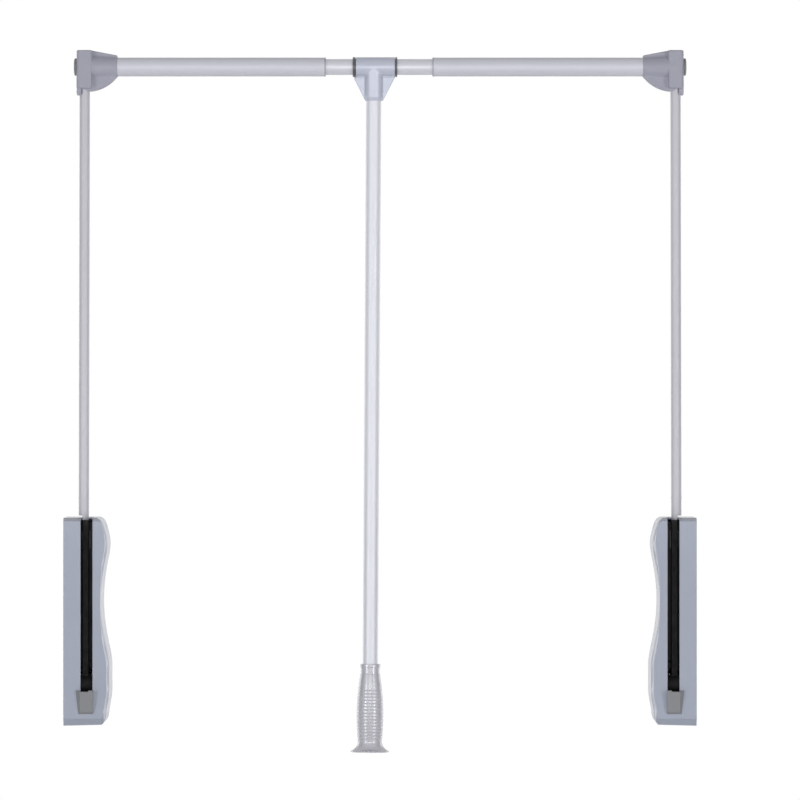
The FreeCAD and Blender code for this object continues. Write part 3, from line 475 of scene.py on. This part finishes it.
def add_mesh(name, points, faces, normals, material):
    """A mesh object with given normals. Faces are turned to agree with them."""
    mesh = bpy.data.meshes.new(name)
    mesh.from_pydata(points.tolist(), [], [list(map(int, face)) for face in faces])
    mesh.update()
    agreement = 0.0
    for polygon in mesh.polygons:
        wanted = Vector(normals[list(polygon.vertices)].sum(axis=0))
        agreement += polygon.area * polygon.normal.dot(wanted)
    if agreement < 0:
        mesh.flip_normals()
    mesh.polygons.foreach_set("use_smooth", [True] * len(mesh.polygons))
    mesh.normals_split_custom_set_from_vertices(normals.tolist())
    mesh.materials.append(material)
    piece = bpy.data.objects.new(name, mesh)
    bpy.context.scene.collection.objects.link(piece)
    return piece


def stand_for(piece, body, node_name):
    """A piece takes the place of a CAD node: it joins the node's body, and the node is hidden."""
    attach(piece, body)
    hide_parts(node_name)


# ---- corner brackets, about the point where the axes of arm and rail meet ----
ARM_X = 0.0238                  # metres from the wall to the arm's axis
BLOCK_MIDDLE_X = -0.3
BLOCK_HALF_WIDTH = 9.6
BLOCK_HALF_DEPTH = 15.8
BLOCK_SIDE_X = 9.3              # the block's face towards the rail
BLOCK_BOTTOM = -27.9
BLOCK_TOP = 20.2
BLOCK_CORNER_AT_WALL = 4.5
BLOCK_CORNER_AT_RAIL = 2.2
SOCKET_END = 40.95
SOCKET_ROOT_RADIUS = 15.6
SOCKET_END_RADIUS = 13.2
SOCKET_ROUNDING = 1.0
WEB_FOOT = -30.6
WEB_HALF_DEPTH = 7.0
WEB_ROUNDING = 1.4
COLLAR_MIDDLE_X = -7.0
COLLAR_HALF_WIDTH = 2.9
COLLAR_HALF_DEPTH = 9.0
COLLAR_BOTTOM = -35.3
COLLAR_TOP = -10.0
ARM_BORE_RADIUS = 6.56
ARM_BORE_TOP = -13.5
RAIL_BORE_RADIUS = 11.91
CORNER_BOX = ((-10.9, -16.8, -36.3), (SOCKET_END + 1, 16.8, 21.2))
SOCKET_SIDE = outline_inset([
    (0, -20), (0, SOCKET_ROOT_RADIUS), (SOCKET_END, SOCKET_END_RADIUS), (SOCKET_END, -20),
], SOCKET_ROUNDING)
WEB_SIDE = outline_inset(
    [(0, BLOCK_TOP), (BLOCK_SIDE_X, BLOCK_TOP), (SOCKET_END, 14.2)]
    + arc_through((SOCKET_END, -12.2), (25.13, -25.6), (BLOCK_SIDE_X, WEB_FOOT), steps=10)
    + [(0, WEB_FOOT)],
    WEB_ROUNDING,
)


def corner_distance(places):
    """Block on the arm, socket for the rail, web and half collar."""
    x, y, z = places[..., 0], places[..., 1], places[..., 2]
    from_rail = np.hypot(y, z)
    from_arm = np.hypot(x, y)
    plan = rounded_overlap(
        np.abs(x - BLOCK_MIDDLE_X) - BLOCK_HALF_WIDTH,
        np.abs(y) - BLOCK_HALF_DEPTH,
        np.where(x < BLOCK_MIDDLE_X, BLOCK_CORNER_AT_WALL, BLOCK_CORNER_AT_RAIL),
    )
    block = rounded_slab(plan, z, BLOCK_BOTTOM, BLOCK_TOP, rounding=1.8)
    socket = polygon_distance(x, from_rail, SOCKET_SIDE) - SOCKET_ROUNDING
    web = polygon_distance(x, z, WEB_SIDE) - WEB_ROUNDING
    web = rounded_slab(web, y, -WEB_HALF_DEPTH, WEB_HALF_DEPTH, WEB_ROUNDING)
    collar = np.maximum(
        np.abs(x - COLLAR_MIDDLE_X) - COLLAR_HALF_WIDTH, np.abs(y) - COLLAR_HALF_DEPTH)
    collar = rounded_slab(collar, z, COLLAR_BOTTOM, COLLAR_TOP, rounding=1.0)
    body = soft_min(soft_min(block, socket, blend=2.0), web, blend=2.0)
    body = soft_min(body, collar, blend=1.0)
    arm_bore = np.maximum(from_arm - ARM_BORE_RADIUS, z - ARM_BORE_TOP)
    rail_bore = np.maximum(from_rail - RAIL_BORE_RADIUS, BLOCK_SIDE_X - x)
    return soft_max(soft_max(body, -arm_bore, blend=0.7), -rail_bore, blend=0.7)


def add_corner_pieces(name, points, faces, normals, material):
    """The piece of the raised left arm and its mirror image, both drawn on an upright corner."""
    points = tilted(points * MM, arm_lean, 1, 2) + (ARM_X, rail_axis.y, rail_axis.z)
    normals = tilted(normals, arm_lean, 1, 2)
    for side in SIDES:
        placed, facing = points.copy(), normals.copy()
        if side == "right":
            placed[:, 0] = cabinet_width - placed[:, 0]
            facing[:, 0] = -facing[:, 0]
        piece = add_mesh(side + "_" + name + "_form", placed, faces, facing, materials[material])
        stand_for(piece, side + "_frame", side + "_" + name)


def make_corner_brackets():
    add_corner_pieces("corner_bracket", *mesh_of(corner_distance, *CORNER_BOX), "corner_plastic")


CAP_SEAT_X = -9.9
CAP_OUTLINE = rounded_outline(
    [(0, 3.9), (7.5, 3.7), (11.0, 3.0), (11.0, -0.3), (0, -0.3)], radius=2.6, steps=7)


def make_corner_caps():
    """A flat round cap with a soft rim on the wall side of each corner bracket."""
    points, faces, normals = turned(CAP_OUTLINE)
    points = points[:, X_FIRST] * (-1, 1, 1) + (CAP_SEAT_X, 0, 0)
    normals = normals[:, X_FIRST] * (-1, 1, 1)
    add_corner_pieces("corner_cap", points, faces, normals, "cap_plastic")


# ---- T holder and its rings, about the rail's axis above the pull rod ----
BARREL_RADIUS = 12.3
BARREL_LEFT = -22.4
BARREL_RIGHT = 26.8
RAIL_HOLE_RADIUS = 11.0
STEM_RADIUS = 12.0
STEM_FOOT = -42.6
STEM_TOP = 2.0
STEM_TAPER_TOP = -38.2
STEM_TAPER_LENGTH = 5.0
STEM_TAPER = 0.32
ROD_BORE_RADIUS = 9.66
ROD_BORE_TOP = -14.0
ROD_TILT = math.radians(0.35)   # the pull rod hangs a little out of true
GUSSET_HALF_DEPTH = 4.0
GUSSET_ROUNDING = 1.2
GUSSET_SIDE = outline_inset([
    (-25.6, -12.9), (26.9, -12.9), (12.4, -41.0), (11.0, STEM_FOOT), (-10.6, STEM_FOOT),
    (-11.5, -41.0),
], GUSSET_ROUNDING)
GUSSET_ROOT_MIDDLE = (2.2, -10.0)
GUSSET_ROOT_HALF = (24.6, 4.0)
TEE_BOX = ((-28.4, -13.3, -43.6), (28.4, 13.3, 13.3))


def tee_distance(places):
    """Barrel on the rail, stem over the pull rod and the two gussets between them."""
    x, y, z = places[..., 0], places[..., 1], places[..., 2]
    from_rail = np.hypot(y, z)
    barrel = rounded_slab(from_rail - BARREL_RADIUS, x, BARREL_LEFT, BARREL_RIGHT, rounding=0.8)
    taper = np.clip(STEM_TAPER_TOP - z, 0.0, STEM_TAPER_LENGTH) * STEM_TAPER
    stem = np.hypot(x, y) - STEM_RADIUS + taper
    stem = rounded_slab(stem, z, STEM_FOOT, STEM_TOP, rounding=0.6)
    wing = polygon_distance(x, z, GUSSET_SIDE) - GUSSET_ROUNDING
    root = np.maximum(
        np.abs(x - GUSSET_ROOT_MIDDLE[0]) - GUSSET_ROOT_HALF[0],
        np.abs(z - GUSSET_ROOT_MIDDLE[1]) - GUSSET_ROOT_HALF[1],
    )
    gussets = rounded_slab(
        np.minimum(wing, root), y, -GUSSET_HALF_DEPTH, GUSSET_HALF_DEPTH, rounding=1.4)
    body = soft_min(soft_min(barrel, stem, blend=0.9), gussets, blend=1.2)
    rod_x = x + (z - STEM_FOOT) * -math.tan(ROD_TILT)
    rod_bore = np.maximum(np.hypot(rod_x, y) - ROD_BORE_RADIUS, z - ROD_BORE_TOP)
    return soft_max(
        soft_max(body, RAIL_HOLE_RADIUS - from_rail, blend=0.4), -rod_bore, blend=0.8)


def make_tee():
    points, quads, normals = mesh_of(tee_distance, *TEE_BOX)
    piece = add_mesh(
        "tee_form", points * MM + tee_place, quads, normals, materials["tee_plastic"])
    stand_for(piece, "pull_rod_set", "tee_body")


RING_INNER_RADIUS = 10.0
RING_OUTER_RADIUS = 12.6
RING_MIDDLE_RADIUS = 11.3
RING_ROUNDING = 0.9
RINGS = ((-26.5, 3.8), (27.1, 2.6))     # where each begins, and its width


def make_stop_rings():
    """Two rubber rings with soft rims that keep the T in place."""
    points, faces, normals = [], [], []
    for start, width in RINGS:
        outline = rounded_outline([
            (RING_MIDDLE_RADIUS, 0), (RING_OUTER_RADIUS, 0), (RING_OUTER_RADIUS, width),
            (RING_INNER_RADIUS, width), (RING_INNER_RADIUS, 0), (RING_MIDDLE_RADIUS, 0),
        ], RING_ROUNDING)[:-1]
        ring_points, ring_faces, ring_normals = turned(outline, closed=True)
        faces.append(ring_faces + sum(map(len, points)))
        points.append((ring_points[:, X_FIRST] + (start, 0, 0)) * MM + tee_place)
        normals.append(ring_normals[:, X_FIRST])
    piece = add_mesh("stop_rings_form", np.vstack(points), np.vstack(faces), np.vstack(normals),
                     materials["black_rubber"])
    stand_for(piece, "inner_rail", "stop_rings")


# ---- grip and its plug, outlines of (radius, height) above the grip's foot ----
GRIP_DROP = 863.2               # the grip's foot below the rail
GRIP_LENGTH = 110.9
GRIP_SEGMENTS = 128
GRIP_FOOT = [(0, 4.1), (15.1, 4.1), (15.1, 0), (24.0, 0), (24.0, 1.5)]
FLARE_RIM = (22.6, 2.0)
FLARE_WAIST = (17.6, 6.3)
FLARE_TOP = (15.1, 13.5)
FLARE_STEPS = 16
GRIP_BELLY = (16.6, 55.95)
GRIP_SHOULDER = (12.4, 98.4)
GRIP_SIDE_STEPS = 400
GRIP_COLLAR = [(12.0, 99.2), (12.0, 106.7), (12.85, 106.7), (12.85, GRIP_LENGTH)]
GRIP_BORE = [(9.7, GRIP_LENGTH), (9.7, 20.9), (0, 20.9)]
GROOVES = 16
GROOVE_PITCH = 4.1
GROOVE_START = 16.5
GROOVE_DEPTH = 0.42
GROOVE_WIDTH = 0.45
PLUG_OUTLINE = rounded_outline(
    [(0, 0.9), (12.6, 0.9), (13.2, 0), (15.0, 0), (15.0, 4.0), (0, 4.0)], radius=0.5)


def grip_side():
    """The barrel with its grooves, from the flare up to the shoulder."""
    side = []
    for radius, height in arc_through(FLARE_TOP, GRIP_BELLY, GRIP_SHOULDER, GRIP_SIDE_STEPS):
        nearest = round((height - GROOVE_START) / GROOVE_PITCH)
        nearest = min(max(nearest, 0), GROOVES - 1)
        away = (height - GROOVE_START - nearest * GROOVE_PITCH) / GROOVE_WIDTH
        side.append((radius - GROOVE_DEPTH * math.exp(-away ** 2), height))
    return side


def grip_outline():
    foot = rounded_outline(GRIP_FOOT + [FLARE_RIM], radius=0.7)
    flare = arc_through(FLARE_RIM, FLARE_WAIST, FLARE_TOP, FLARE_STEPS)[1:-1]
    neck = rounded_outline([GRIP_SHOULDER] + GRIP_COLLAR + GRIP_BORE, radius=0.6)[1:]
    return np.vstack([foot, flare, grip_side(), neck])


def hang_on_rod(name, outline, segments, material):
    """A turned piece at the foot of the pull rod, tilted with it about the stem's foot."""
    points, faces, normals = turned(outline, segments=segments)
    points = points * MM + (tee_x, rail_axis.y, rail_axis.z - GRIP_DROP * MM)
    stem_foot = np.array((tee_x, rail_axis.y, rail_axis.z + STEM_FOOT * MM))
    points = stem_foot + tilted(points - stem_foot, ROD_TILT, 0, 2)
    piece = add_mesh(name + "_form", points, faces, normals, materials[material])
    stand_for(piece, "pull_rod_set", name)


# ---- lift springs ----
WIRE_RADIUS = 2.5
WIRE_STEPS = 14
SPRING_COILS = 15
COIL_STEPS = 28
END_TURN_RISE = 5.1


def spring_height(turn, height):
    """Height along a spring: its first and last turns lie close, and the rest are open."""
    open_pitch = (height - 2 * END_TURN_RISE) / (SPRING_COILS - 2)
    if turn < 1:
        return END_TURN_RISE * turn
    if turn > SPRING_COILS - 1:
        return height - END_TURN_RISE * (SPRING_COILS - turn)
    return END_TURN_RISE + open_pitch * (turn - 1)


def make_spring(side):
    """A compression spring of wire, with close end turns, drawn in the CAD spring's box."""
    low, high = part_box(side + "_lift_spring")
    centre = (low + high) / 2
    mean_radius = (high.x - low.x) / 2 - WIRE_RADIUS * MM
    height = (high.z - low.z) / MM - 2 * WIRE_RADIUS
    points, normals, faces = [], [], []
    count = SPRING_COILS * COIL_STEPS
    for step in range(count + 1):
        turn = step / COIL_STEPS
        angle = 2 * math.pi * turn
        z = low.z + (WIRE_RADIUS + spring_height(turn, height)) * MM
        outward = Vector((math.cos(angle), math.sin(angle), 0))
        middle = Vector((centre.x, centre.y, z)) + outward * mean_radius
        for part in range(WIRE_STEPS):
            around = 2 * math.pi * part / WIRE_STEPS
            normal = outward * math.cos(around) + Vector((0, 0, math.sin(around)))
            points.append(middle + normal * WIRE_RADIUS * MM)
            normals.append(normal)
            if step:
                here = step * WIRE_STEPS + part
                beside = step * WIRE_STEPS + (part + 1) % WIRE_STEPS
                faces.append((here - WIRE_STEPS, beside - WIRE_STEPS, beside, here))
    faces.append(tuple(range(WIRE_STEPS)))
    faces.append(tuple(count * WIRE_STEPS + part for part in reversed(range(WIRE_STEPS))))
    spring = add_mesh(side + "_lift_spring_form", np.array(points), faces, np.array(normals),
                      materials["spring_steel"])
    stand_for(spring, side + "_housing", side + "_lift_spring")
    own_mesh(spring)


make_corner_brackets()
make_corner_caps()
make_tee()
make_stop_rings()
hang_on_rod("grip", grip_outline(), GRIP_SEGMENTS, "grip_plastic")
hang_on_rod("grip_plug", PLUG_OUTLINE, SEGMENTS, "cap_plastic")
for side in SIDES:
    make_spring(side)


# ---- stage, light and camera ----
FLOOR_HEIGHT = -1.1
FLOOR_SIZE = 12.0
FLOOR_GLOW = 0.95
FLOOR_PALE_SHARE = 0.82         # what the glow makes up of the floor that is seen
FILL_STRENGTH = 0.27
# Each softbox beside the object: its distance to the side, y, width, height and watts.
SOFTBOXES = {
    "softbox": (2.9, -3.45, 0.6, 1.8, 40),
    "rim": (2.45, 2.5, 1.2, 2.4, 21),
}
FRONT_PANEL_Y = -3.4
FRONT_PANEL_Z = 0.42
FRONT_PANEL_WIDTH = 2.4
FRONT_PANEL_HEIGHT = 0.6
FRONT_PANEL_WATTS = 21.5
CAMERA_PLACE = Vector((0.421, -10.0, 0.2775))
CAMERA_REACH = 100
SENSOR = 36.0
FRONT_PLANE_Y = -0.065          # the housings' fronts, where the picture is FRAME_WIDTH wide
FRAME_WIDTH = 1.0


def seen_rays(tree):
    """1 for what is seen directly, in a reflection or through glass, and 0 for the light."""
    path = add_node(tree, "LightPath")
    seen = path.outputs["Is Camera Ray"]
    for kind in ("Is Glossy Ray", "Is Transmission Ray"):
        either = add_node(tree, "Math", operation="MAXIMUM")
        tree.links.new(seen, either.inputs[0])
        tree.links.new(path.outputs[kind], either.inputs[1])
        seen = either.outputs["Value"]
    return seen


def make_floor():
    """A floor that looks pale from every side and keeps a part of its shadows."""
    bpy.ops.mesh.primitive_plane_add(
        size=FLOOR_SIZE, location=(cabinet_width / 2, 0, FLOOR_HEIGHT))
    floor = bpy.context.object
    floor.name = "floor"
    finish = Finish("floor_pale", linear(236, 236, 236), roughness=0.8)
    finish.vary_roughness(finish.noise(8, detail=3), spread=0.05)
    pale = add_node(finish.tree, "Emission", {"Strength": FLOOR_GLOW})
    share = add_node(finish.tree, "Math", {1: FLOOR_PALE_SHARE}, operation="MULTIPLY")
    mix = add_node(finish.tree, "MixShader")
    finish.link(seen_rays(finish.tree), share.inputs[0])
    finish.link(share.outputs["Value"], mix.inputs["Fac"])
    finish.link(finish.shader.outputs["BSDF"], mix.inputs[1])
    finish.link(pale.outputs["Emission"], mix.inputs[2])
    finish.link(mix.outputs["Shader"], finish.tree.nodes["Material Output"].inputs["Surface"])
    floor.data.materials.append(finish.material)


def make_world():
    """Plain white where it is seen, and a softer fill as light."""
    world = bpy.data.worlds.new("studio")
    bpy.context.scene.world = world
    world.use_nodes = True
    tree = world.node_tree
    tree.nodes.clear()
    fill = add_node(tree, "Background", {"Color": WHITE, "Strength": FILL_STRENGTH})
    white = add_node(tree, "Background", {"Color": WHITE, "Strength": 1.0})
    mix = add_node(tree, "MixShader")
    out = add_node(tree, "OutputWorld")
    tree.links.new(seen_rays(tree), mix.inputs["Fac"])
    tree.links.new(fill.outputs["Background"], mix.inputs[1])
    tree.links.new(white.outputs["Background"], mix.inputs[2])
    tree.links.new(mix.outputs["Shader"], out.inputs["Surface"])


def make_softbox(name, place, aim, width, height, watts):
    light = bpy.data.lights.new(name, "AREA")
    light.shape = "RECTANGLE"
    light.size = width
    light.size_y = height
    light.energy = watts
    softbox = bpy.data.objects.new(name, light)
    bpy.context.scene.collection.objects.link(softbox)
    softbox.location = place
    softbox.rotation_euler = (aim - place).to_track_quat("-Z", "Y").to_euler()
    softbox.visible_camera = False


def make_lights():
    """Tall softboxes on both sides, in front and behind, and a wide panel in front."""
    middle = Vector((cabinet_width / 2, 0, 0))
    for side, sign in zip(SIDES, (-1, 1)):
        for name, (aside, y, width, height, watts) in SOFTBOXES.items():
            place = middle + Vector((sign * aside, y, 0))
            make_softbox(name + "_" + side, place, middle, width, height, watts)
    place = Vector((cabinet_width / 2, FRONT_PANEL_Y, FRONT_PANEL_Z))
    make_softbox("front_panel", place, place + Vector((0, 1, 0)),
                 FRONT_PANEL_WIDTH, FRONT_PANEL_HEIGHT, FRONT_PANEL_WATTS)


def make_camera():
    """A level camera that looks along Y at the fronts of the housings."""
    camera_data = bpy.data.cameras.new("camera")
    camera_data.sensor_width = SENSOR
    camera_data.lens = SENSOR * (FRONT_PLANE_Y - CAMERA_PLACE.y) / FRAME_WIDTH
    camera_data.clip_end = CAMERA_REACH
    camera = bpy.data.objects.new("camera", camera_data)
    bpy.context.scene.collection.objects.link(camera)
    camera.location = CAMERA_PLACE
    camera.rotation_euler = (math.radians(90), 0, 0)
    bpy.context.scene.camera = camera


make_floor()
make_world()
make_lights()
make_camera()
bpy.context.scene.view_settings.view_transform = "Standard"

bpy.context.view_layer.update()
